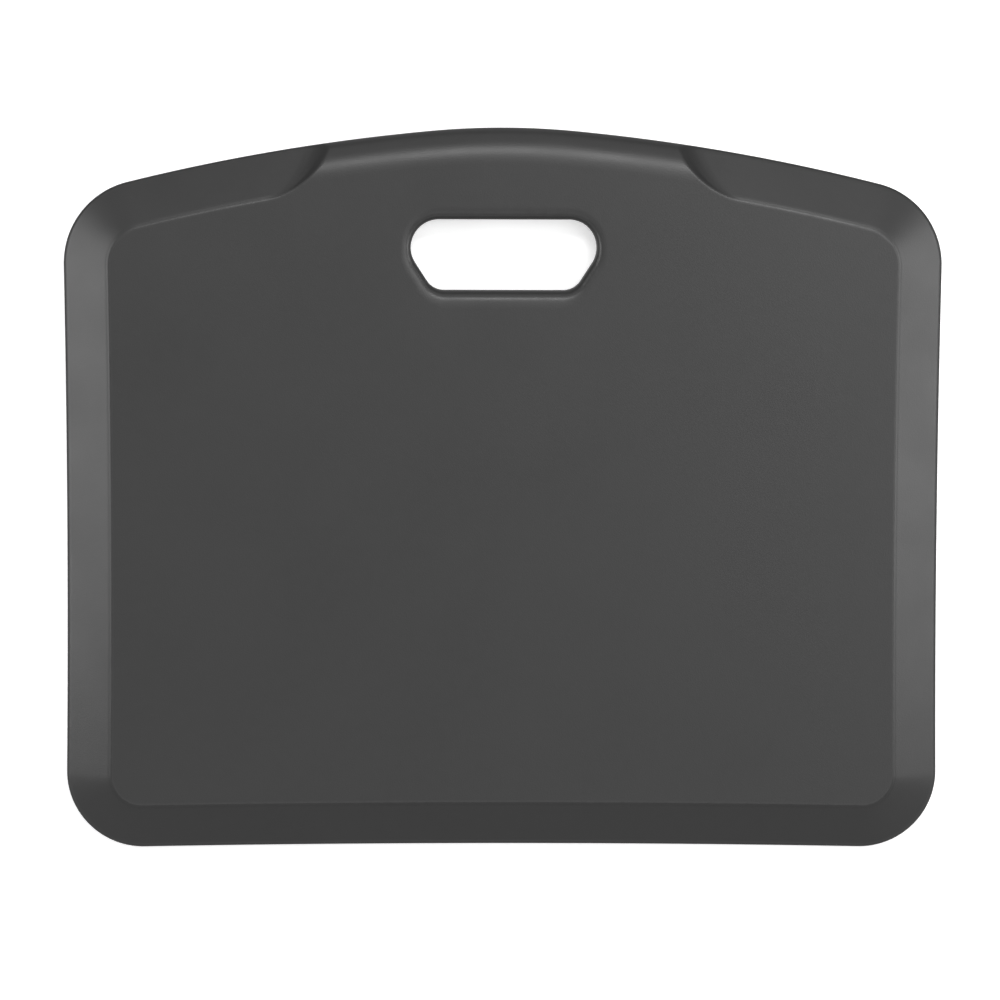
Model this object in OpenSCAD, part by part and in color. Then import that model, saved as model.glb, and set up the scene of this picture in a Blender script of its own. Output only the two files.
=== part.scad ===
// Kneeling pad: a flat moulded foam pad with bevelled edges and a carrying handle.
// It lies flat with its kneeling face up (+Z) and its handle edge towards +Y.
// The origin is the centre of the bounding box, on the floor.
// Both the rim and the hand opening are closed paths of tangent straights and arcs, symmetric
// about X = 0. Each is traced anticlockwise from the middle of its front side to the middle
// of its rear side, and mirrored. The skin and the core join matching stations on the two.

/* [Pad] */
// Width across the rear corners, the widest place
pad_w = 558.8; // [500:0.1:620]
// Overall depth, from the front corners' tips to the crown of the rear edge
pad_d = 460.8; // [420:0.1:520]
// Overall thickness
pad_h = 20; // [16:0.5:26]

/* [Rim outline] */
// Radius of the two front corners
front_r = 48.6; // [40:0.1:60]
// Radius of the two rear corners
rear_r = 53.2; // [42:0.1:65]
// Radius of the crown in the middle of the rear edge
crown_r = 491.5; // [400:0.5:700]
// Angle that each half of the front edge bows inward through
front_bow = 1.05; // [0:0.05:1.5]
// Angle that each side edge bows inward through
side_bow = 1.68; // [0:0.01:2]
// Lean of each side edge's chord away from straight back
side_lean = 0.085; // [0:0.005:0.5]
// Slope of the rear edge where the crown ends
crown_slope = 5.25; // [4:0.05:7]
// Slope of the rear edge where the rear corner begins
flank_slope = 14.05; // [12:0.05:16]

/* [Edges] */
// Width of the bevel round the rim
bevel_w = 29.2; // [22:0.1:34]
// Height of the rim's outer face, below the bevel
land_h = 2.6; // [2.2:0.1:4]
// Depth of the crowned edge along the handle, measured in from the rim
handle_w = 22.5; // [18:0.5:26]
// Radius of the handle's crown
handle_r = 27.5; // [20:0.5:32]
// Slope at which the crown runs out towards the rim
handle_slope = 47; // [35:1:50]

/* [Hand opening] */
// Width of the opening
grip_w = 118.2; // [100:0.1:130]
// Depth of the opening, front to rear
grip_d = 45; // [40:0.1:50]
// Width of the grip bar between the opening and the crown
grip_bar = 58; // [54:0.1:70]
// Radius of the opening's front corners
grip_front_r = 13; // [8:0.5:16]
// Radius of the opening's rear corners
grip_rear_r = 18; // [12:0.5:19]
// Angle of the opening's slanted ends to the pad's width
grip_slant = 57; // [50:1:65]
// Radius of the rounded lip on the kneeling face
lip_r = 9.5; // [4:0.5:12]

/* [Notches] */
// Distance along the rear edge from its middle to where each notch's crest leaves the rim
notch_start = 100; // [90:1:115]
// Angle of the crest to the rim
notch_slant = 37; // [32:1:45]
// How softly the crest bends into the bevel's crest
notch_bend = 14; // [6:0.5:18]
// Angle of the notch wall to the floor
notch_angle = 55; // [35:1:60]

/* [Layers] */
// Thickness of the dense skin over the top and the edges
skin_t = 1.2; // [0.8:0.1:1.6]
// Thickness of the base sheet
base_t = 1.6; // [1.2:0.1:1.8]

/* [Underside] */
// Distance between the anti-slip grooves
groove_pitch = 12; // [8:1:20]
// Width of an anti-slip groove
groove_w = 3; // [2:0.5:5]
// Depth of an anti-slip groove
groove_h = 0.7; // [0.3:0.1:0.9]
// Plain margin round the grooved field
groove_margin = 34; // [30:1:50]

/* [Hidden] */

skin_colour = "#48484a";
core_colour = "#6a6a6c";
base_colour = "#3c3c3e";

// Steps along each of a half path's eight stretches, for the moulded layers and for the sheet
layer_steps = [3, 8, 3, 8, 4, 10, 2, 2];
sheet_steps = [6, 20, 4, 16, 8, 8, 4, 4];

// Insets at which a section through the rim is sampled, as parts of the bevel's width
rim_samples = bevel_w * [0, 0.025, 0.085, 0.2, 0.34, 0.48, 0.62, 0.75, 0.89, 1];
// The flat that is left beyond the bevel before the plain plateau begins
flat_edge = 3;
// Width of the eased edge where the handle's crown meets the rim
handle_edge = 2.5;
// Segments round a groove's two ends
groove_segments = 24;
// A turn below this angle counts as straight
least_turn = 0.001;
// Angles at which the opening's lip is sampled, from the flat down to the wall
lip_samples = [90, 60, 30, 0];

// ---- Tangent paths. A stretch is [length, turn]; a state is [x, y, heading] ----

// Ratio of chord to arc for a stretch that turns through an angle
function chord_ratio(turn) = abs(turn) < least_turn ? 1 : sin(turn / 2) * 360 / (PI * turn);
function arc_length(radius, turn) = radius * turn * PI / 180;
function unit(heading) = [cos(heading), sin(heading)];

// The state part of the way along a stretch
function along(state, stretch, part) =
    let (
        turn = stretch[1] * part,
        chord = stretch[0] * part * chord_ratio(turn),
        step = chord * unit(state[2] + turn / 2)
    )
    [state[0] + step.x, state[1] + step.y, state[2] + turn];

// The state where stretch i begins
function start_of(path, i) =
    i == 0 ? path[0] : along(start_of(path, i - 1), path[1][i - 1], 1);

// States along half a path: [x, y, heading, distance still to go to the rear middle]
function half_states(path, steps) =
    [
        for (i = [0 : len(steps) - 1])
            let (
                begin = start_of(path, i),
                left = path_length(path[1], i)
            )
            for (k = [0 : steps[i] - 1])
                concat(along(begin, path[1][i], k / steps[i]), left - path[1][i][0] * k / steps[i])
    ];
function path_length(stretches, i = 0) =
    i == len(stretches) ? 0 : stretches[i][0] + path_length(stretches, i + 1);

// States round the whole closed path, right half first
function whole_states(path, steps) =
    let (
        right = half_states(path, steps),
        rear = concat(start_of(path, len(path[1])), 0),
        mirrored = [for (i = [len(right) - 1 : -1 : 1]) mirror_state(right[i])]
    )
    concat(right, [rear], mirrored);
function mirror_state(s) = [-s[0], s[1], 360 - s[2], s[3]];

// ---- The rim: front edge, front corner, side, rear corner, flank in three parts, crown ----

front_turn = -front_bow;
side_from = 90 - side_lean + side_bow / 2;
side_to = 90 - side_lean - side_bow / 2;
flank_from = 180 - flank_slope;
flank_to = 180 - crown_slope;

front_corner_turn = side_from - front_turn;
rear_corner_turn = flank_from - side_to;
flank_turn = flank_to - flank_from;

function arc_vector(radius, from, to) =
    [radius * (sin(to) - sin(from)), radius * (cos(from) - cos(to))];

front_corner = arc_vector(front_r, front_turn, side_from);
rear_corner = arc_vector(rear_r, side_to, flank_from);
crown = arc_vector(crown_r, flank_to, 180);

// The three free chords follow from the width, the depth and the path closing on X = 0
front_dir = front_turn / 2;
side_dir = 90 - side_lean;
flank_dir = (flank_from + flank_to) / 2;
side_end_x = pad_w / 2 - rear_r * (1 - sin(side_to));
flank_chord = -(side_end_x + rear_corner.x + crown.x) / cos(flank_dir);
corner_rises = front_r * (1 - cos(side_from)) + rear_corner.y;
side_chord = (pad_d - corner_rises - flank_chord * sin(flank_dir) - crown.y) / sin(side_dir);
front_chord = (side_end_x - side_chord * cos(side_dir) - front_corner.x) / cos(front_dir);

// The bow sets the middle of the front edge back from the front corners' tips
front_y = front_r * (1 - cos(front_turn)) - front_chord * sin(front_dir) - pad_d / 2;

// The flank is cut where each notch leaves the rim and where it has run out into the bevel
flank_length = flank_chord / chord_ratio(flank_turn);
crown_length = arc_length(crown_r, crown_slope);
inner_part = (notch_start - crown_length) / flank_length;
notch_length = bevel_w / tan(notch_slant) + notch_bend;
notch_part = notch_length / flank_length;
outer_part = 1 - inner_part - notch_part;

rim_path = [
    [0, front_y, 0],
    [
        [front_chord / chord_ratio(front_turn), front_turn],
        [arc_length(front_r, front_corner_turn), front_corner_turn],
        [side_chord / chord_ratio(side_bow), -side_bow],
        [arc_length(rear_r, rear_corner_turn), rear_corner_turn],
        outer_part * [flank_length, flank_turn],
        notch_part * [flank_length, flank_turn],
        inner_part * [flank_length, flank_turn],
        [crown_length, crown_slope],
    ],
];

// ---- The hand opening: front, front corner, slanted end, rear corner in three, rear in two ----

// The rear corner is cut at headings that face the matching cuts in the rim
corner_cuts = [grip_slant, 110, 145, 180];
grip_rear_y = pad_d / 2 - grip_bar;
slant_length = (grip_d - grip_front_r * (1 - cos(grip_slant))
    - grip_rear_r * (1 + cos(grip_slant))) / sin(grip_slant);
grip_rear_half = grip_w / 2 - grip_rear_r;
grip_front_half = grip_w / 2 - grip_front_r * sin(grip_slant)
    - slant_length * cos(grip_slant) - grip_rear_r * (1 - sin(grip_slant));

grip_path = [
    [0, grip_rear_y - grip_d, 0],
    [
        [grip_front_half, 0],
        [arc_length(grip_front_r, grip_slant), grip_slant],
        [slant_length, 0],
        for (i = [1 : len(corner_cuts) - 1])
            let (turn = corner_cuts[i] - corner_cuts[i - 1])
            [arc_length(grip_rear_r, turn), turn],
        [grip_rear_half / 2, 0],
        [grip_rear_half / 2, 0],
    ],
];

// ---- Sections through the rim: height of the top face at a distance in from the rim ----

function bevel_height(inset) = land_h + (pad_h - land_h) * min(inset / bevel_w, 1);
// The handle's crown: an arc that runs out into a straight slope
function crown_height(inset) =
    let (
        short = max(handle_w - inset, 0),
        arc = min(short, handle_r * sin(handle_slope))
    )
    pad_h - handle_r + sqrt(handle_r * handle_r - arc * arc) - tan(handle_slope) * (short - arc);
// The crown with its edge eased down to the rim's outer face
function handle_height(inset) =
    crown_height(inset) - (crown_height(0) - land_h) * max(1 - inset / handle_edge, 0);

// The notch's crest before it bends: nothing at notch_start, then a straight slant
function straight_crest(distance) = tan(notch_slant) * (distance - notch_start);
// How much of the crest's direction is still the slant's: 1 at first, 0 on the bevel's crest
function slant_share(distance) =
    min(max((bevel_w - straight_crest(distance)) / notch_bend + 1, 0), 2) / 2;
// Inset of the crest from the rim, bending from the slant into the bevel's full width
function crest_inset(distance) =
    let (share = slant_share(distance))
    bevel_w + (straight_crest(distance) - bevel_w) * share - notch_bend * share * (1 - share);
// The wall falls away from the crest at a steady angle, measured square to the crest
function notch_height(inset, distance) =
    let (
        gap = max(crest_inset(distance) - inset, 0),
        steepness = tan(notch_slant) * slant_share(distance)
    )
    pad_h - tan(notch_angle) * gap / sqrt(1 + steepness * steepness);

function top_height(inset, distance) =
    max(bevel_height(inset), min(handle_height(inset), notch_height(inset, distance)));

// Half a section as [inset, height] points: the rim side, from the base sheet up and inward
function rim_section(distance) =
    concat(
        [[0, base_t]],
        [for (inset = rim_samples) [inset, top_height(inset, distance)]],
        [[bevel_w + flat_edge, pad_h]]
    );

// The opening's side of a section, from the flat down the lip to the base sheet
lip_section = concat(
    [[lip_r + flat_edge, pad_h]],
    [for (a = lip_samples) lip_r * [1 - cos(a), sin(a)] + [0, pad_h - lip_r]],
    [[0, base_t]]
);

// A section moved into the pad by the skin's thickness, with its feet kept on the base sheet
function section_normal(section, i) =
    let (
        last = len(section) - 1,
        across = section[min(i + 1, last)] - section[max(i - 1, 0)]
    )
    [across.y, -across.x] / norm(across);
function inner_point(section, i, side) =
    let (moved = section[i] + side * skin_t * section_normal(section, i))
    [moved.x, max(moved.y, base_t)];
function inner_section(section, side) =
    [for (i = [0 : len(section) - 1]) inner_point(section, i, side)];

// ---- Joining the sections into closed solids ----

rim_states = whole_states(rim_path, layer_steps);
grip_states = whole_states(grip_path, layer_steps);

// A section point in space: inset along the path's left (side 1) or right (side -1)
function place(state, point, side) =
    [
        state[0] - side * point.x * sin(state[2]),
        state[1] + side * point.x * cos(state[2]),
        point.y
    ];
function place_all(state, section, side) = [for (p = section) place(state, p, side)];

function outer_line(i) =
    concat(
        place_all(rim_states[i], rim_section(rim_states[i][3]), 1),
        place_all(grip_states[i], lip_section, -1)
    );
function inner_line(i) =
    concat(
        place_all(rim_states[i], inner_section(rim_section(rim_states[i][3]), 1), 1),
        place_all(grip_states[i], inner_section(lip_section, -1), -1)
    );
function reversed(list) = [for (i = [len(list) - 1 : -1 : 0]) list[i]];

// A ring of closed loops, each joined to the next
module ring_solid(loops) {
    count = len(loops);
    size = len(loops[0]);
    points = [for (loop = loops) each loop];
    faces = [
        for (i = [0 : count - 1], k = [0 : size - 1])
            let (
                a = i * size + k,
                b = i * size + (k + 1) % size,
                c = ((i + 1) % count) * size + (k + 1) % size,
                d = ((i + 1) % count) * size + k
            )
            each [[a, b, c], [a, c, d]]
    ];
    polyhedron(points, faces, convexity = 6);
}

module path_shape(path) {
    polygon([for (s = whole_states(path, sheet_steps)) [s[0], s[1]]]);
}

// ---- Underside grooves: rows of round-ended slots over the kneeling area ----

groove_front = front_y + groove_margin;
groove_rear = grip_rear_y - grip_d - groove_margin / 2;
groove_half = side_end_x - groove_margin;
groove_rows = floor((groove_rear - groove_front) / groove_pitch);

module groove_shape() {
    square([2 * groove_half, groove_w], center = true);
    for (side = [-1, 1])
        translate([side * groove_half, 0])
            circle(d = groove_w, $fn = groove_segments);
}

// ---- The pieces ----

// Dense skin over the kneeling face, the bevels, the handle and the opening's wall
module top_skin() {
    color(skin_colour)
        ring_solid([
            for (i = [0 : len(rim_states) - 1])
                concat(outer_line(i), reversed(inner_line(i)))
        ]);
}

// Soft cellular core that fills the skin
module foam_core() {
    color(core_colour)
        ring_solid([for (i = [0 : len(rim_states) - 1]) inner_line(i)]);
}

// Flat sheet with anti-slip grooves that closes the underside
module base_skin() {
    color(base_colour)
        difference() {
            linear_extrude(base_t)
                difference() {
                    path_shape(rim_path);
                    path_shape(grip_path);
                }
            for (row = [0 : groove_rows])
                translate([0, groove_front + row * groove_pitch, -groove_h])
                    linear_extrude(2 * groove_h)
                        groove_shape();
        }
}

top_skin();
foam_core();
base_skin();
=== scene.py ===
"""Looks for a moulded foam kneeling pad.

The skin, the foam core and the base sheet are smooth meshes that replace the CAD layers. Each has
a procedural material, and the pad lies on a pale studio floor. Everything is in metres in the CAD
frame: the pad lies flat with its kneeling face up (+Z) and its handle edge towards +Y.

The rim and the hand opening are closed paths of tangent straights and arcs, symmetric about X = 0.
Each is traced anticlockwise from the middle of its front side and sampled at the same number of
stations, and every layer is a grid of stations by section points.
"""

import math

import bmesh
import bpy
import numpy as np
from mathutils import Matrix, Vector


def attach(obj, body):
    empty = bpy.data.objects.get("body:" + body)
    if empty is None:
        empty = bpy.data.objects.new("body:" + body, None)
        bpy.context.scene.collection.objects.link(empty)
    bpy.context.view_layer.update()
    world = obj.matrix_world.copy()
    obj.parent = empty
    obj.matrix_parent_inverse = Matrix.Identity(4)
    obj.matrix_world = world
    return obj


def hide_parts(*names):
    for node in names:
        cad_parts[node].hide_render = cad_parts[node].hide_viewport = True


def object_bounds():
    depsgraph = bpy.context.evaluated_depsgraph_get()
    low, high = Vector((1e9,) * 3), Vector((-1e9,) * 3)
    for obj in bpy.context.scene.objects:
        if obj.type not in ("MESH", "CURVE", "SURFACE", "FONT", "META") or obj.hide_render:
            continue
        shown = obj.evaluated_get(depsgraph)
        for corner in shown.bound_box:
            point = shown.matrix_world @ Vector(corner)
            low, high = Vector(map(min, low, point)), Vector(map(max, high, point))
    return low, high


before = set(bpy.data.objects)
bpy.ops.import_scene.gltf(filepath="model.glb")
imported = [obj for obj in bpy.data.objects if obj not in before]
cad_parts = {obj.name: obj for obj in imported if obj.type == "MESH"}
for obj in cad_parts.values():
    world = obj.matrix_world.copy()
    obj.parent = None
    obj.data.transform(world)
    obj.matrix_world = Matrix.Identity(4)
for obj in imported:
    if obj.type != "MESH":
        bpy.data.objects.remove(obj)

CAD_LOW, CAD_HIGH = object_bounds()
MM = 0.001

# ---- Driving sizes. The overall box comes from the CAD frame ----

PAD_W = CAD_HIGH.x - CAD_LOW.x
PAD_D = CAD_HIGH.y - CAD_LOW.y
PAD_H = CAD_HIGH.z - CAD_LOW.z

FRONT_R = 48.6 * MM
REAR_R = 53.2 * MM
CROWN_R = 491.5 * MM
FRONT_BOW = math.radians(1.05)
SIDE_BOW = math.radians(1.68)
SIDE_LEAN = math.radians(0.085)
CROWN_SLOPE = math.radians(5.25)
FLANK_SLOPE = math.radians(14.05)

BEVEL_W = 29.2 * MM
LAND_H = 3.4 * MM
RIM_R = 2.4 * MM
RIM_DROP = 1.5 * MM
HANDLE_W = 22.5 * MM
HANDLE_R = 27.5 * MM
HANDLE_SLOPE = math.radians(47)
HANDLE_EDGE_R = 3.5 * MM

# The notch's crest leaves the rim at a slant, then bends into the bevel's crest
NOTCH_START = 100 * MM
NOTCH_SLANT = math.tan(math.radians(37))
NOTCH_BEND = 14 * MM
NOTCH_SLOPE = math.tan(math.radians(58))
# Distances from the rear middle that cut each flank in three, so that its notch is sampled finely
NOTCH_CUTS = (102 * MM, 158 * MM)

GRIP_W = 118.2 * MM
GRIP_D = 45 * MM
GRIP_BAR = 58 * MM
GRIP_FRONT_R = 13 * MM
GRIP_REAR_R = 18 * MM
GRIP_SLANT = math.radians(57)
# The opening's lip is a tight arc up from the wall, then a wide arc into the plateau. Their radii
# are given by heading: the front, the slants, the tips, the rear corners and the rear
LIP_TURN = math.radians(12)
LIP_HEADINGS = np.radians([0, 57, 90, 135, 180])
LIP_TIGHT = np.array([7.4, 6.0, 4.8, 5.8, 6.5]) * MM
LIP_WIDE = np.array([27, 17, 13, 15, 17]) * MM

SKIN_T = 1.2 * MM
BASE_T = 1.6 * MM
# Depth of the chamfers that meet in the parting line between the skin and the base sheet
SEAM = 0.25 * MM
BASE_EDGE_R = 0.6 * MM

GROOVE_PITCH = 12 * MM
GROOVE_W = 3 * MM
GROOVE_H = 0.7 * MM
GROOVE_MARGIN = 34 * MM

# How softly two surfaces meet: the height over which one blends into the other
BEVEL_CREST_BLEND = 1.5 * MM
NOTCH_CREST_BLEND = 1.0 * MM
NOTCH_EDGE_BLEND = 1.6 * MM
NOTCH_FOOT_BLEND = 9 * MM

# Edges rounded more tightly than this are the most polished by handling, and get the most painted
# sheen in their colour
WEAR_AND_SHEEN_R = 6 * MM

# ---- How finely the shapes are sampled ----

# Stations along each of a half path's eight stretches
STEPS = (40, 40, 44, 40, 36, 80, 40, 30)
# Rows over the rim's rounding, the bevel with a strip beyond it, and the plateau
RIM_ROWS = 7
BEVEL_ROWS = 40
BEVEL_MARGIN = 4 * MM
FLAT_ROWS = 12
# Rows over the lip's wide and tight arcs, and down the opening's wall
LIP_ROWS = (6, 10)
WALL_ROWS = 4
# The skin's inner face and the core keep one row in this many
INNER_EVERY = 3
# Rows over the base sheet's eased edge, and points round each end of a groove
EASE_ROWS = 4
GROOVE_END_POINTS = 9
# How far past the notch its crest is traced, in bevel widths, and with how many points
CREST_REACH = 6
CREST_POINTS = 200
# Edges with a sharper fold than this are drawn sharp
SHARP_FOLD = math.radians(40)
# Stands in for a blend of nothing, which can't be divided by
LEAST_BLEND = 1e-9

# Headings that cut the opening's rear corner opposite the matching cuts in the rim
CORNER_CUTS = (GRIP_SLANT, math.radians(110), math.radians(145), math.pi)


# ---- Tangent paths. A state is x, y, heading and the distance still to go to the rear middle ----

def arc_states(state, length, turn, part):
    """States at the given parts of a stretch that starts at state."""
    part = np.atleast_1d(part)
    half_turn = turn * part / 2
    chord = length * part * np.sinc(half_turn / math.pi)
    heading = state[2] + half_turn
    return np.column_stack([
        state[0] + chord * np.cos(heading),
        state[1] + chord * np.sin(heading),
        state[2] + turn * part,
        state[3] - length * part,
    ])


def closed_path(start, stretches):
    """States round the whole path: the right half, the rear middle and the mirrored left half."""
    total = sum(length for length, _ in stretches)
    state = np.array([*start, total])
    rows = []
    for (length, turn), count in zip(stretches, STEPS):
        rows.append(arc_states(state, length, turn, np.arange(count) / count))
        state = arc_states(state, length, turn, 1)[0]
    right = np.vstack(rows)
    left = right[:0:-1] * [-1, 1, -1, 1] + [0, 0, 2 * math.pi, 0]
    return np.vstack([right, [state], left])


def arc_vector(radius, start, end):
    return np.array([
        radius * (math.sin(end) - math.sin(start)),
        radius * (math.cos(start) - math.cos(end)),
    ])


def chord_to_arc(chord, turn):
    return chord / np.sinc(turn / 2 / math.pi)


def rim_states():
    """The rim: front edge, front corner, side, rear corner, flank in three parts and crown."""
    quarter = math.pi / 2
    side_dir = quarter - SIDE_LEAN
    side_from = side_dir + SIDE_BOW / 2
    side_to = side_dir - SIDE_BOW / 2
    flank_from = math.pi - FLANK_SLOPE
    flank_to = math.pi - CROWN_SLOPE
    flank_dir = (flank_from + flank_to) / 2
    front_corner = arc_vector(FRONT_R, -FRONT_BOW, side_from)
    rear_corner = arc_vector(REAR_R, side_to, flank_from)
    crown = arc_vector(CROWN_R, flank_to, math.pi)

    side_end = PAD_W / 2 - REAR_R * (1 - math.sin(side_to))
    flank = -(side_end + rear_corner[0] + crown[0]) / math.cos(flank_dir)
    corners = FRONT_R * (1 - math.cos(side_from)) + rear_corner[1]
    side = (PAD_D - corners - flank * math.sin(flank_dir) - crown[1]) / math.sin(side_dir)
    front = (side_end - side * math.cos(side_dir) - front_corner[0]) / math.cos(FRONT_BOW / 2)
    front_y = FRONT_R * (1 - math.cos(FRONT_BOW)) + front * math.sin(FRONT_BOW / 2) - PAD_D / 2

    flank_turn = flank_to - flank_from
    flank_length = chord_to_arc(flank, flank_turn)
    inner = (NOTCH_CUTS[0] - CROWN_R * CROWN_SLOPE) / flank_length
    notch = (NOTCH_CUTS[1] - NOTCH_CUTS[0]) / flank_length
    return closed_path((0, front_y, 0), (
        (chord_to_arc(front, FRONT_BOW), -FRONT_BOW),
        (FRONT_R * (side_from + FRONT_BOW), side_from + FRONT_BOW),
        (chord_to_arc(side, SIDE_BOW), -SIDE_BOW),
        (REAR_R * (flank_from - side_to), flank_from - side_to),
        *((part * flank_length, part * flank_turn) for part in (1 - inner - notch, notch, inner)),
        (CROWN_R * CROWN_SLOPE, CROWN_SLOPE),
    ))


def grip_states():
    """The hand opening: front, front corner, slanted end, rear corner in three and rear in two."""
    slant = (GRIP_D - GRIP_FRONT_R * (1 - math.cos(GRIP_SLANT))
             - GRIP_REAR_R * (1 + math.cos(GRIP_SLANT))) / math.sin(GRIP_SLANT)
    rear = GRIP_W / 2 - GRIP_REAR_R
    front = (GRIP_W / 2 - GRIP_FRONT_R * math.sin(GRIP_SLANT)
             - slant * math.cos(GRIP_SLANT) - GRIP_REAR_R * (1 - math.sin(GRIP_SLANT)))
    corner_turns = np.diff(CORNER_CUTS)
    front_y = PAD_D / 2 - GRIP_BAR - GRIP_D
    return closed_path((0, front_y, 0), (
        (front, 0),
        (GRIP_FRONT_R * GRIP_SLANT, GRIP_SLANT),
        (slant, 0),
        *((GRIP_REAR_R * turn, turn) for turn in corner_turns),
        (rear / 2, 0),
        (rear / 2, 0),
    ))


# ---- The top surface: height at an inset from the rim and a distance along the rear edge ----

def soft_min(a, b, blend):
    """The lower of a and b, rounded where they come within blend of each other."""
    blend = np.maximum(blend, LEAST_BLEND)
    mix = np.clip(0.5 + 0.5 * (b - a) / blend, 0, 1)
    return b + (a - b) * mix - blend * mix * (1 - mix)


def soft_max(a, b, blend):
    return -soft_min(-a, -b, blend)


def blend_within(blend, room):
    """The blend where there is room for it, and no more than the room where there isn't."""
    return blend * np.tanh(room / blend)


def bevel_surface(inset):
    rise = (PAD_H - LAND_H) / BEVEL_W
    return soft_min(PAD_H, LAND_H + rise * inset, BEVEL_CREST_BLEND)


def quarter_round(part):
    """Falls from 1 at part 0 to 0 at part 1, upright at first and level at last."""
    return 1 - np.sqrt(1 - (1 - np.clip(part, 0, 1)) ** 2)


def handle_crown(inset):
    """The handle's crowned edge: an arc that runs out into a straight slope."""
    short = np.maximum(HANDLE_W - inset, 0)
    arc = np.minimum(short, HANDLE_R * math.sin(HANDLE_SLOPE))
    fall = HANDLE_R - np.sqrt(HANDLE_R ** 2 - arc ** 2)
    return PAD_H - fall - math.tan(HANDLE_SLOPE) * (short - arc)


def handle_surface(inset):
    """The crowned edge with a tighter round where it meets the rim."""
    return handle_crown(inset) - (handle_crown(0) - LAND_H) * quarter_round(inset / HANDLE_EDGE_R)


def crest_inset(distance):
    """How far in from the rim the notch's crest is: less than nothing along the handle."""
    return soft_min(NOTCH_SLANT * (distance - NOTCH_START), BEVEL_W, NOTCH_BEND)


def notch_crest():
    """The edge between the plateau and the notch wall, as distance and inset, from past the rim."""
    end = NOTCH_START + CREST_REACH * BEVEL_W
    distance = np.linspace(NOTCH_START - BEVEL_W, end, CREST_POINTS)
    return np.column_stack([distance, crest_inset(distance)])


def distance_to_line(points, line):
    """Shortest distance from each point to a line of straight pieces."""
    start, step = line[:-1], np.diff(line, axis=0)
    length2 = (step ** 2).sum(axis=1)
    best = np.full(len(points), np.inf)
    for s, d, l2 in zip(start, step, length2):
        part = np.clip(((points - s) @ d) / l2, 0, 1)
        best = np.minimum(best, np.linalg.norm(points - s - part[:, None] * d, axis=1))
    return best


def notch_surface(inset, distance):
    """The notch wall, which falls from the plateau's edge at a steady slope."""
    points = np.column_stack([distance.ravel(), inset.ravel()])
    gap = distance_to_line(points, notch_crest()).reshape(inset.shape)
    gap = np.where(inset < crest_inset(distance), gap, -gap)
    return soft_min(PAD_H, PAD_H - NOTCH_SLOPE * gap, NOTCH_CREST_BLEND)


def top_surface(inset, distance):
    bevel, handle = bevel_surface(inset), handle_surface(inset)
    wall = notch_surface(inset, distance)
    room = PAD_H - np.minimum(handle, wall)
    handle = soft_min(handle, wall, blend_within(NOTCH_EDGE_BLEND, room))
    room = PAD_H - np.maximum(bevel, handle)
    top = soft_max(bevel, handle, blend_within(NOTCH_FOOT_BLEND, room))
    return top - RIM_DROP * quarter_round(inset / RIM_R)


# ---- Section grids: stations by points, each point an (x, y, z) ----

def offset_grid(states, inset, height, side):
    """Places section points at an inset to the left (side 1) or right (-1) of a path."""
    across = side * np.column_stack([-np.sin(states[:, 2]), np.cos(states[:, 2])])
    inset = np.broadcast_to(inset, height.shape)
    flat = states[:, None, :2] + inset[:, :, None] * across[:, None, :]
    return np.concatenate([flat, height[:, :, None]], axis=2)


def rim_grid(rim, insets, foot):
    """Rows from the foot of the rim up over the bevel or the handle's crown to the plateau."""
    inset, distance = np.meshgrid(insets, rim[:, 3])
    height = top_surface(inset, distance)
    feet = np.tile([foot, foot + SEAM], (len(rim), 1))
    return offset_grid(rim, np.concatenate([[SEAM, 0], insets]), np.hstack([feet, height]), 1)


def lip_grid(grip, slopes, foot):
    """Rows from the plateau over the lip and down the opening's wall to its foot."""
    heading = math.pi - np.abs(math.pi - grip[:, 2])
    tight = np.interp(heading, LIP_HEADINGS, LIP_TIGHT)[:, None]
    wide = np.interp(heading, LIP_HEADINGS, LIP_WIDE)[:, None]
    slight, steep = np.minimum(slopes, LIP_TURN), np.maximum(slopes, LIP_TURN)
    inset = tight * (1 - np.sin(steep)) + wide * (math.sin(LIP_TURN) - np.sin(slight))
    fall = wide * (1 - np.cos(slight)) + tight * (math.cos(LIP_TURN) - np.cos(steep))
    height = PAD_H - fall
    drop = np.linspace(0, 1, WALL_ROWS + 1)[1:]
    wall = height[:, -1:] * (1 - drop) + (foot + SEAM) * drop
    feet = np.tile([SEAM, foot], (len(grip), 1))
    inset = np.hstack([inset, np.zeros_like(wall), feet[:, :1]])
    return offset_grid(grip, inset, np.hstack([height, wall, feet[:, 1:]]), -1)


def flat_grid(near, far, rows):
    """Rows that cross the plateau from the last rim row to the first lip row."""
    part = (np.arange(1, rows + 1) / (rows + 1))[None, :, None]
    return near[:, None, :] * (1 - part) + far[:, None, :] * part


def face_grid(rim, grip, insets, slopes, foot):
    """The whole moulded face as one grid, from the rim's foot to the opening's foot."""
    outer, lip = rim_grid(rim, insets, foot), lip_grid(grip, slopes, foot)
    return np.concatenate([outer, flat_grid(outer[:, -1], lip[:, 0], FLAT_ROWS), lip], axis=1)


def fine_insets():
    """Insets of the rim's rows: close together over its rounding, then even across the bevel."""
    rounding = RIM_R * (1 - np.cos(np.linspace(0, math.pi / 2, RIM_ROWS)))
    bevel = np.linspace(RIM_R, BEVEL_W + BEVEL_MARGIN, BEVEL_ROWS)
    return np.concatenate([rounding, bevel[1:]])


def lip_slopes():
    """Slopes of the lip's rows, from level at the plateau to upright at the wall."""
    wide = np.linspace(0, LIP_TURN, LIP_ROWS[0])
    tight = np.linspace(LIP_TURN, math.pi / 2, LIP_ROWS[1])
    return np.concatenate([wide, tight[1:]])


def grid_normals(grid):
    """Unit normals of a grid of points, facing up or outward."""
    round_way = np.roll(grid, -1, axis=0) - np.roll(grid, 1, axis=0)
    inward = np.gradient(grid, axis=1)
    normal = np.cross(round_way, inward)
    return normal / np.linalg.norm(normal, axis=2, keepdims=True)


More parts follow.
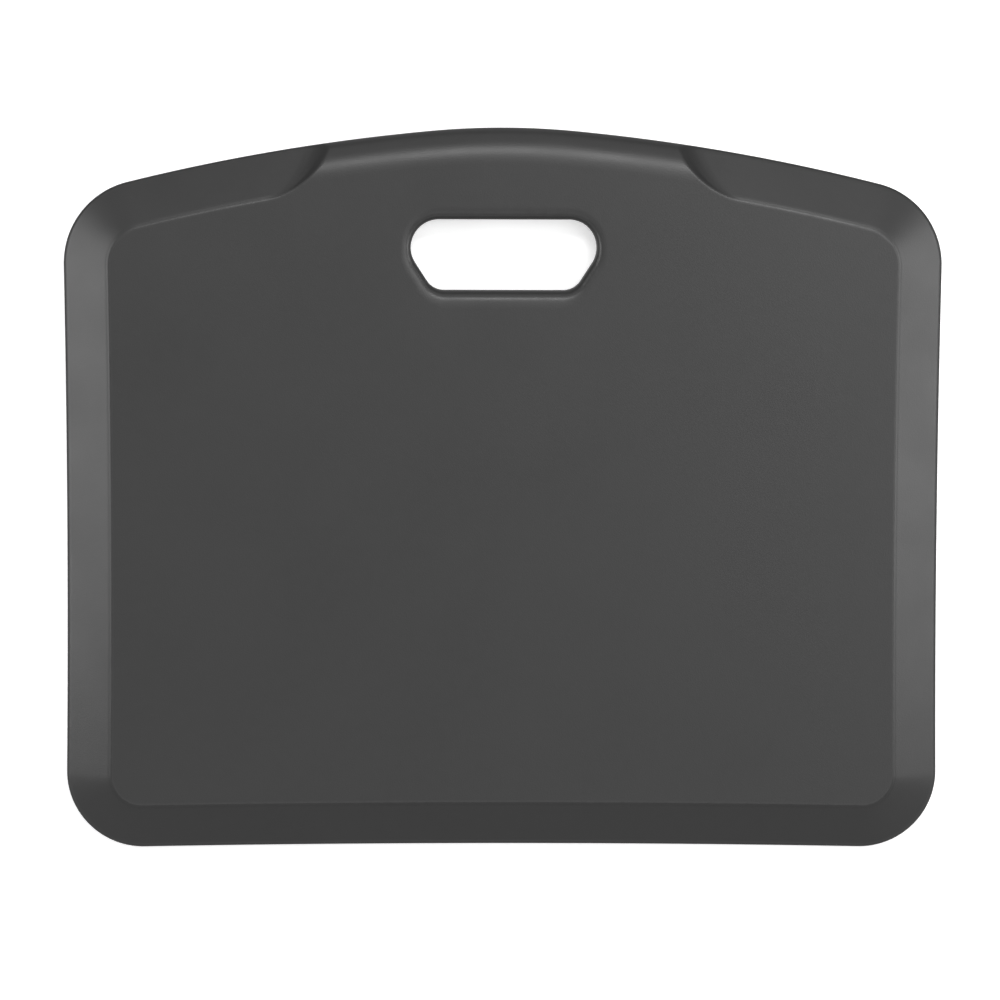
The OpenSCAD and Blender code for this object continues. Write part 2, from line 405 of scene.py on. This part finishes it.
def crest_wear_and_sheen(grid):
    """How sharply a grid bulges along its sections: 0 where flat or hollow, 1 on a tight edge."""
    step = np.gradient(grid, axis=1)
    bend = np.gradient(grid_normals(grid), axis=1)
    bulge = (bend * step).sum(axis=2) / (step ** 2).sum(axis=2)
    return np.clip(bulge * WEAR_AND_SHEEN_R, 0, 1)


def lining(grid, thickness, foot):
    """A grid moved into the pad by a thickness, with its feet kept at one height."""
    moved = grid - thickness * grid_normals(grid)
    moved[:, :, 2] = np.maximum(moved[:, :, 2], foot)
    moved[:, [0, -1], 2] = foot
    return moved


# ---- Meshes ----

def add_object(name, data):
    """A new object in the scene that holds the given mesh, light or camera."""
    item = bpy.data.objects.new(name, data)
    bpy.context.scene.collection.objects.link(item)
    return item


def shade_smooth(mesh):
    mesh.polygons.foreach_set("use_smooth", [True] * len(mesh.polygons))
    mesh.set_sharp_from_angle(angle=SHARP_FOLD)


def grid_mesh(name, loops):
    """A closed mesh from a ring of closed loops: stations by points."""
    stations, size = loops.shape[:2]
    index = np.arange(stations * size).reshape(stations, size)
    after, beyond = np.roll(index, -1, axis=0), np.roll(index, -1, axis=1)
    faces = np.stack([index, after, np.roll(after, -1, axis=1), beyond], axis=2)
    mesh = bpy.data.meshes.new(name)
    mesh.from_pydata(loops.reshape(-1, 3).tolist(), [], faces.reshape(-1, 4).tolist())
    mesh.validate()
    shade_smooth(mesh)
    mesh.update()
    return add_object(name, mesh)


def add_loop(mesh, states, inset, height, side):
    """A closed loop of vertices at one inset and height along a path."""
    points = offset_grid(states, inset, np.full((len(states), 1), height), side)[:, 0]
    return [mesh.verts.new(p) for p in points]


def loop_edges(mesh, verts):
    return [mesh.edges.get(pair) for pair in zip(verts, verts[1:] + verts[:1])]


def join_loops(mesh, lower, upper):
    pairs = zip(lower, lower[1:] + lower[:1], upper[1:] + upper[:1], upper)
    for quad in pairs:
        mesh.faces.new(quad)


def slot_outline(y, half):
    """A round-ended slot along X as plan points, anticlockwise."""
    turn = np.linspace(-math.pi / 2, math.pi / 2, GROOVE_END_POINTS)
    end = np.column_stack([half + GROOVE_W / 2 * np.cos(turn), y + GROOVE_W / 2 * np.sin(turn)])
    return np.vstack([end, [0, 2 * y] - end])


def base_section():
    """Half a section through the base sheet: its eased edge, its outer face and its chamfer."""
    turn = np.linspace(0, math.pi / 2, EASE_ROWS)[::-1]
    inset = BASE_EDGE_R * (1 - np.cos(turn))
    drop = np.sqrt(np.maximum(BASE_EDGE_R ** 2 - (BASE_EDGE_R - inset) ** 2, 0))
    return [*zip(inset, BASE_EDGE_R - drop), (0, BASE_T - SEAM), (SEAM, BASE_T)]


def base_mesh(name, rim, grip):
    """The base sheet: eased edges round the rim and the opening, and rows of anti-slip slots."""
    mesh = bmesh.new()
    under, over = [], []
    for states, side in ((rim, 1), (grip, -1)):
        loops = [
            add_loop(mesh, states, inset, height, side) for inset, height in base_section()
        ]
        for lower, upper in zip(loops, loops[1:]):
            join_loops(mesh, lower, upper)
        under += loop_edges(mesh, loops[0])
        over += loop_edges(mesh, loops[-1])

    front, rear = rim[0, 1] + GROOVE_MARGIN, grip[0, 1] - GROOVE_MARGIN / 2
    half = rim[:, 0].max() - GROOVE_MARGIN
    for y in np.arange(front, rear, GROOVE_PITCH):
        outline = slot_outline(y, half)
        mouth = [mesh.verts.new((*p, 0)) for p in outline]
        roof = [mesh.verts.new((*p, GROOVE_H)) for p in outline]
        join_loops(mesh, mouth, roof)
        under += loop_edges(mesh, mouth)
        mesh.faces.new(roof)
    for edges in (under, over):
        bmesh.ops.triangle_fill(mesh, edges=edges, use_beauty=True)
    bmesh.ops.recalc_face_normals(mesh, faces=mesh.faces)
    data = bpy.data.meshes.new(name)
    mesh.to_mesh(data)
    mesh.free()
    shade_smooth(data)
    return add_object(name, data)


# ---- Node helpers ----

# The range that most of a noise's values lie in
NOISE_MIDDLE = (0.3, 0.7)


class Nodes:
    """A small helper for building a node tree."""

    def __init__(self, tree):
        self.tree = tree

    def add(self, kind, **settings):
        node = self.tree.nodes.new(kind)
        for key, value in settings.items():
            setattr(node, key, value)
        return node

    def link(self, source, target):
        self.tree.links.new(source, target)

    def math(self, operation, a, b):
        node = self.add("ShaderNodeMath", operation=operation)
        for socket, value in zip(node.inputs, (a, b)):
            if isinstance(value, (int, float)):
                socket.default_value = value
            else:
                self.link(value, socket)
        return node.outputs[0]

    def remap(self, value, low, high, to_low, to_high, **settings):
        node = self.add("ShaderNodeMapRange", **settings)
        self.link(value, node.inputs["Value"])
        names = ("From Min", "From Max", "To Min", "To Max")
        for name, number in zip(names, (low, high, to_low, to_high)):
            node.inputs[name].default_value = number
        return node.outputs["Result"]


class MaterialNodes(Nodes):
    """The node tree of a new material, with its shader and the place on the object."""

    def __init__(self, name):
        self.material = bpy.data.materials.new(name)
        self.material.use_nodes = True
        super().__init__(self.material.node_tree)
        self.tree.nodes.clear()
        self.shader = self.add("ShaderNodeBsdfPrincipled")
        out = self.add("ShaderNodeOutputMaterial")
        self.link(self.shader.outputs["BSDF"], out.inputs["Surface"])
        self.place = self.add("ShaderNodeTexCoord").outputs["Object"]

    def set(self, name, value):
        self.shader.inputs[name].default_value = value

    def feed(self, source, name):
        self.link(source, self.shader.inputs[name])

    def noise(self, size, detail=2.0, roughness=0.5):
        """Noise from 0 to 1 whose blobs are about size across."""
        node = self.add("ShaderNodeTexNoise")
        node.inputs["Scale"].default_value = 1 / size
        node.inputs["Detail"].default_value = detail
        node.inputs["Roughness"].default_value = roughness
        self.link(self.place, node.inputs["Vector"])
        return node.outputs["Fac"]

    def clouds(self, size, detail, low=0, high=1):
        """Noise with its middle stretched to the range from low to high."""
        return self.remap(self.noise(size, detail), *NOISE_MIDDLE, low, high)

    def cells(self, size, feature="SMOOTH_F1", smoothness=0.4):
        """Distance to the nearest of scattered cell centres about size apart."""
        node = self.add("ShaderNodeTexVoronoi", feature=feature)
        node.inputs["Scale"].default_value = 1 / size
        if feature == "SMOOTH_F1":
            node.inputs["Smoothness"].default_value = smoothness
        self.link(self.place, node.inputs["Vector"])
        return node.outputs["Distance"]

    def mix(self, factor, a, b):
        """Colour a where factor is 0 and b where it is 1."""
        node = self.add("ShaderNodeMix", data_type="RGBA")
        self.link(factor, node.inputs["Factor"])
        for socket, value in ((node.inputs[6], a), (node.inputs[7], b)):
            if isinstance(value, tuple):
                socket.default_value = (*value, 1)
            else:
                self.link(value, socket)
        return node.outputs[2]

    def bump(self, height, distance, strength=1.0, under=None):
        node = self.add("ShaderNodeBump")
        node.inputs["Distance"].default_value = distance
        node.inputs["Strength"].default_value = strength
        self.link(height, node.inputs["Height"])
        if under is not None:
            self.link(under, node.inputs["Normal"])
        return node.outputs["Normal"]


def grey(level):
    return (level, level, level)


# ---- Materials ----

# The skin's greys: its two clouded tones, its mottling and the lighter grey of its polished crests,
# which is a painted sheen
SKIN_GREYS = (0.0185, 0.0205, 0.0215, 0.026)
FOAM_GREYS = (0.05, 0.14)
SHEET_GREYS = (0.018, 0.024)
FLOOR_GREYS = (0.86, 0.88)
FLOOR_GLOW = 0.4

SKIN_ROUGHNESS = (0.37, 0.42)
# How much the polish on the crests takes off the roughness
POLISH_DEPTH = 0.05

# How far across each pattern's blobs or cells are, from the widest to the finest
FLOOR_CLOUD = 400 * MM
SKIN_CLOUD = 90 * MM
SKIN_SHEEN = 40 * MM
SHEET_CLOUD = 30 * MM
SKIN_WAVE = 12 * MM
SKIN_MOTTLE = 7 * MM
POLISH_AND_SHEEN_PATCH = 5 * MM
SHEET_PEBBLE = 1.6 * MM
FOAM_PORE = 1.4 * MM
SKIN_GRAIN = 0.9 * MM
SKIN_FINE_GRAIN = 0.35 * MM


def skin_material():
    """Satin-matt charcoal polyurethane skin with a very fine grain and faint mottling."""
    nodes = MaterialNodes("charcoal_skin")
    dark, light, mottled, painted_sheen_grey = SKIN_GREYS
    colour = nodes.mix(nodes.clouds(SKIN_CLOUD, 3), grey(dark), grey(light))
    mottle = nodes.math("MULTIPLY", nodes.clouds(SKIN_MOTTLE, 4), 0.5)
    colour = nodes.mix(mottle, colour, grey(mottled))
    # Painted sheen: the tight crests are mixed in patches towards a lighter grey. The same mask
    # lowers the roughness there, as handling polishes them
    wear_and_sheen = nodes.add("ShaderNodeAttribute", attribute_name="wear_and_sheen").outputs["Fac"]
    patches = nodes.remap(nodes.noise(POLISH_AND_SHEEN_PATCH, 5, 0.7), 0.35, 0.6, 0.2, 1)
    polish_and_sheen = nodes.math("MULTIPLY", wear_and_sheen, patches)
    nodes.feed(nodes.mix(polish_and_sheen, colour, grey(painted_sheen_grey)), "Base Color")

    roughness = nodes.clouds(SKIN_SHEEN, 4, *SKIN_ROUGHNESS)
    smoothing = nodes.math("MULTIPLY", polish_and_sheen, POLISH_DEPTH)
    nodes.feed(nodes.math("SUBTRACT", roughness, smoothing), "Roughness")
    nodes.set("Specular IOR Level", 0.5)

    soft = nodes.bump(nodes.noise(SKIN_WAVE, 2), 0.05 * MM, 0.6)
    leather = nodes.bump(nodes.cells(SKIN_GRAIN), 0.05 * MM, 0.6, soft)
    fine = nodes.bump(nodes.noise(SKIN_FINE_GRAIN, 2), 0.02 * MM, 0.5, leather)
    nodes.feed(fine, "Normal")
    return nodes.material


def foam_material():
    """Open cellular foam: a lighter grey with painted shade in its pores."""
    nodes = MaterialNodes("cellular_foam")
    dark, light = FOAM_GREYS
    # Painted shade: the pores are darker than the cell walls around them
    pores = nodes.remap(nodes.cells(FOAM_PORE, "F1"), 0.1, 0.6, 0, 1)
    nodes.feed(nodes.mix(pores, grey(dark), grey(light)), "Base Color")
    nodes.set("Roughness", 0.9)
    nodes.feed(nodes.bump(pores, 0.4 * MM, 0.8), "Normal")
    return nodes.material


def base_material():
    """Matt anti-slip sheet with a pebbled surface."""
    nodes = MaterialNodes("anti_slip_sheet")
    dark, light = SHEET_GREYS
    nodes.feed(nodes.mix(nodes.clouds(SHEET_CLOUD, 4), grey(dark), grey(light)), "Base Color")
    nodes.set("Roughness", 0.75)
    nodes.feed(nodes.bump(nodes.cells(SHEET_PEBBLE), 0.25 * MM, 0.8), "Normal")
    return nodes.material


def floor_material():
    """Pale studio floor with the faintest unevenness."""
    nodes = MaterialNodes("pale_floor")
    dark, light = FLOOR_GREYS
    nodes.feed(nodes.mix(nodes.noise(FLOOR_CLOUD, 2), grey(dark), grey(light)), "Base Color")
    nodes.set("Roughness", 0.8)
    nodes.set("Specular IOR Level", 0.2)
    nodes.set("Emission Color", (1, 1, 1, 1))
    nodes.set("Emission Strength", FLOOR_GLOW)
    return nodes.material


# ---- The pieces ----

def add_piece(piece, node, material):
    piece.data.materials.append(material)
    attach(piece, "root")
    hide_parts(node)


def make_pad():
    rim, grip = rim_states(), grip_states()
    face = face_grid(rim, grip, fine_insets(), lip_slopes(), BASE_T)
    rows = face.shape[1]
    columns = np.unique(np.linspace(0, rows - 1, rows // INNER_EVERY).round().astype(int))
    inner = lining(face, SKIN_T, BASE_T)[:, columns]
    skin = grid_mesh("moulded_skin", np.concatenate([face, inner[:, ::-1]], axis=1))
    # How tight each crest is: this drives the polish of handling and the painted sheen along the
    # crests
    wear_and_sheen = np.hstack([crest_wear_and_sheen(face), np.zeros(inner.shape[:2])])
    skin.data.attributes.new("wear_and_sheen", "FLOAT", "POINT").data.foreach_set("value", wear_and_sheen.ravel())
    add_piece(skin, "top_skin", skin_material())
    core = grid_mesh("cellular_core", inner)
    add_piece(core, "foam_core", foam_material())
    add_piece(base_mesh("grooved_base", rim, grip), "base_skin", base_material())


# ---- Studio ----

# The camera is nearly straight above the pad, a little beyond its handle edge. Its sensor and its
# long lens are in millimetres, as Blender wants them
CAMERA_PLACE = Vector((-0.0602, 0.2385, 2.8897))
CAMERA_TARGET = Vector((-0.0018, -0.0070, 0))
CAMERA_UP = Vector((-0.003, 1, 0))
SENSOR_WIDTH, LENS = 36, 163.3
CLIP_NEAR, CLIP_FAR = 0.05, 50

# The floor reaches this many pad widths each way, and lies this far below the pad
FLOOR_REACH = 6
FLOOR_GAP = 0.2 * MM

# Name, place from the pad's centre, width, height and watts of each softbox
SOFTBOXES = (
    ("left_strip", (-0.93, 0.15, 0.32), 0.30, 0.80, 3.35),
    ("right_strip", (0.93, 0.13, 0.32), 0.30, 0.77, 3.08),
    ("rear_softbox", (0.15, 1.13, 1.30), 1.30, 0.18, 12.1),
    ("front_softbox", (0.00, -1.10, 1.50), 1.60, 0.60, 3.0),
    ("high_softbox", (1.00, 0.40, 1.70), 1.20, 1.20, 11.2),
)
# Up for a light aimed at the pad: its height runs as nearly along Y as its aim allows
LIGHT_UP = Vector((0, 1, 0.01))

# Height of a direction (its Z) and the backdrop's strength there
BACKDROP_STOPS = (
    (-0.5, 0.40), (0.0, 0.42), (0.25, 1.25), (0.5, 0.20), (0.75, 0.40), (1.0, 0.85),
)

# The backdrop is shaded beyond the pad's two rear corners: by this much at most, in full below
# the first height and not at all above the second
SHADE = 0.85
SHADE_HEIGHTS = (0.0, 0.25)


def aim(obj, target, up):
    """Turns a camera or a light to face the target, with up towards the top of its picture."""
    back = (obj.location - target).normalized()
    right = up.cross(back).normalized()
    turn = Matrix((right, back.cross(right), back)).transposed()
    obj.rotation_euler = turn.to_euler()


def softbox(name, place, width, height, watts):
    """An area light over the pad. place is in metres from the pad's centre."""
    light = bpy.data.lights.new(name, "AREA")
    light.shape = "RECTANGLE"
    light.size, light.size_y = width, height
    light.energy = watts
    lamp = add_object(name, light)
    lamp.location = Vector(place)
    aim(lamp, Vector((0, 0, 0)), LIGHT_UP)


def make_lights():
    for name, place, width, height, watts in SOFTBOXES:
        softbox(name, place, width, height, watts)


def make_backdrop():
    """A backdrop that the camera sees as white, and whose light on the pad varies with direction.

    It is brightest just above the horizon and overhead, and shaded low beyond the rear corners.
    """
    world = bpy.data.worlds.new("studio")
    world.use_nodes = True
    nodes = Nodes(world.node_tree)
    split = nodes.add("ShaderNodeSeparateXYZ")
    nodes.link(nodes.add("ShaderNodeTexCoord").outputs["Generated"], split.inputs[0])
    across, back, rise = (split.outputs[axis] for axis in "XYZ")

    fade = nodes.add("ShaderNodeValToRGB")
    nodes.link(nodes.remap(rise, -1, 1, 0, 1), fade.inputs["Fac"])
    stops = fade.color_ramp.elements
    while len(stops) < len(BACKDROP_STOPS):
        stops.new(1)
    for stop, (height, strength) in zip(stops, BACKDROP_STOPS):
        stop.position, stop.color = (height + 1) / 2, (*grey(strength), 1)

    # The product of X and Y is 0 along each axis and at most 1/2, on the diagonals
    sideways, backward = nodes.math("ABSOLUTE", across, 0), nodes.math("MAXIMUM", back, 0)
    diagonal = nodes.math("MULTIPLY", backward, sideways)
    low = nodes.remap(rise, *SHADE_HEIGHTS, 2 * SHADE, 0, interpolation_type="SMOOTHSTEP")
    kept = nodes.math("SUBTRACT", 1, nodes.math("MULTIPLY", diagonal, low))
    glow = nodes.math("MULTIPLY", fade.outputs["Color"], kept)

    seen = nodes.add("ShaderNodeMix")
    camera_ray = nodes.add("ShaderNodeLightPath").outputs["Is Camera Ray"]
    nodes.link(camera_ray, seen.inputs["Factor"])
    nodes.link(glow, seen.inputs["A"])
    seen.inputs["B"].default_value = 1
    backdrop = nodes.tree.nodes["Background"]
    backdrop.inputs["Color"].default_value = (1, 1, 1, 1)
    nodes.link(seen.outputs["Result"], backdrop.inputs["Strength"])
    bpy.context.scene.world = world


def make_camera():
    data = bpy.data.cameras.new("camera")
    data.sensor_width, data.lens = SENSOR_WIDTH, LENS
    data.clip_start, data.clip_end = CLIP_NEAR, CLIP_FAR
    camera = add_object("camera", data)
    camera.location = CAMERA_PLACE
    aim(camera, CAMERA_TARGET, CAMERA_UP)
    bpy.context.scene.camera = camera


def make_floor():
    """A wide floor just under the pad. The pad neither mirrors it nor is lit by it."""
    half = FLOOR_REACH * PAD_W
    corners = [
        (x * half, y * half, -FLOOR_GAP) for x, y in ((-1, -1), (1, -1), (1, 1), (-1, 1))
    ]
    mesh = bpy.data.meshes.new("studio_floor")
    mesh.from_pydata(corners, [], [(0, 1, 2, 3)])
    floor = add_object("studio_floor", mesh)
    mesh.materials.append(floor_material())
    floor.visible_glossy = floor.visible_diffuse = False


make_pad()
make_floor()
make_lights()
make_backdrop()
make_camera()
bpy.context.scene.view_settings.view_transform = "Standard"
